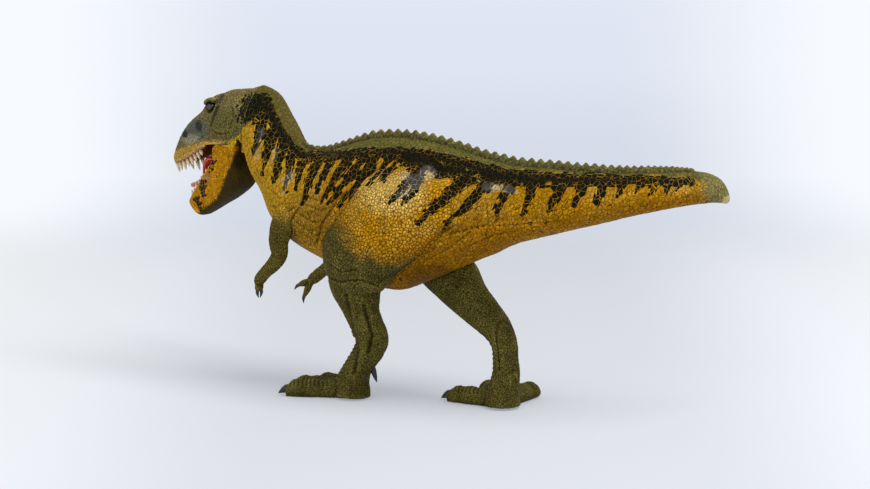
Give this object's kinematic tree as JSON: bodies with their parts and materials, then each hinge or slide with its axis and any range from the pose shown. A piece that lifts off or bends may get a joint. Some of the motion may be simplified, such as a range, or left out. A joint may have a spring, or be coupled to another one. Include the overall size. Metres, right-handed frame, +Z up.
{
  "type": "toy dinosaur figure",
  "caption": "Standing two-legged meat-eating dinosaur toy with a striped back, serrated crest, curled tail and a lower jaw that opens on a pin.",
  "frame": {"origin": "on the ground, under the middle of the figure's bounding box", "axes": "-X the way the body faces, -Y the animal's left side (nearer the camera), +Z up"},
  "size_m": [0.2838, 0.0786, 0.1411],
  "materials": {
    "body_plastic": "painted ochre with dark green stripes, satin",
    "olive_plastic": "painted olive green, satin",
    "tooth_plastic": "ivory, glossy",
    "tongue_plastic": "dark red, glossy",
    "pin_steel": "drawn steel wire"
  },
  "bodies": {
    "figure": {"torso_left_half": "body_plastic", "torso_right_half": "body_plastic", "tail": "body_plastic", "head": "olive_plastic", "jaw_pin": "pin_steel", "upper_teeth": "tooth_plastic", "left_leg": "olive_plastic", "right_leg": "olive_plastic", "left_arm": "olive_plastic", "right_arm": "olive_plastic"},
    "jaw": {"lower_jaw": "body_plastic", "lower_teeth": "tooth_plastic", "tongue": "tongue_plastic"}
  },
  "joints": [
    {"name": "jaw_hinge", "type": "hinge", "parent": "figure", "child": "jaw", "pos_m": [-0.08608, -0.00528, 0.11701], "axis": [-0.3256, -0.9455, 0], "range_deg": [-12, 4]}
  ]
}
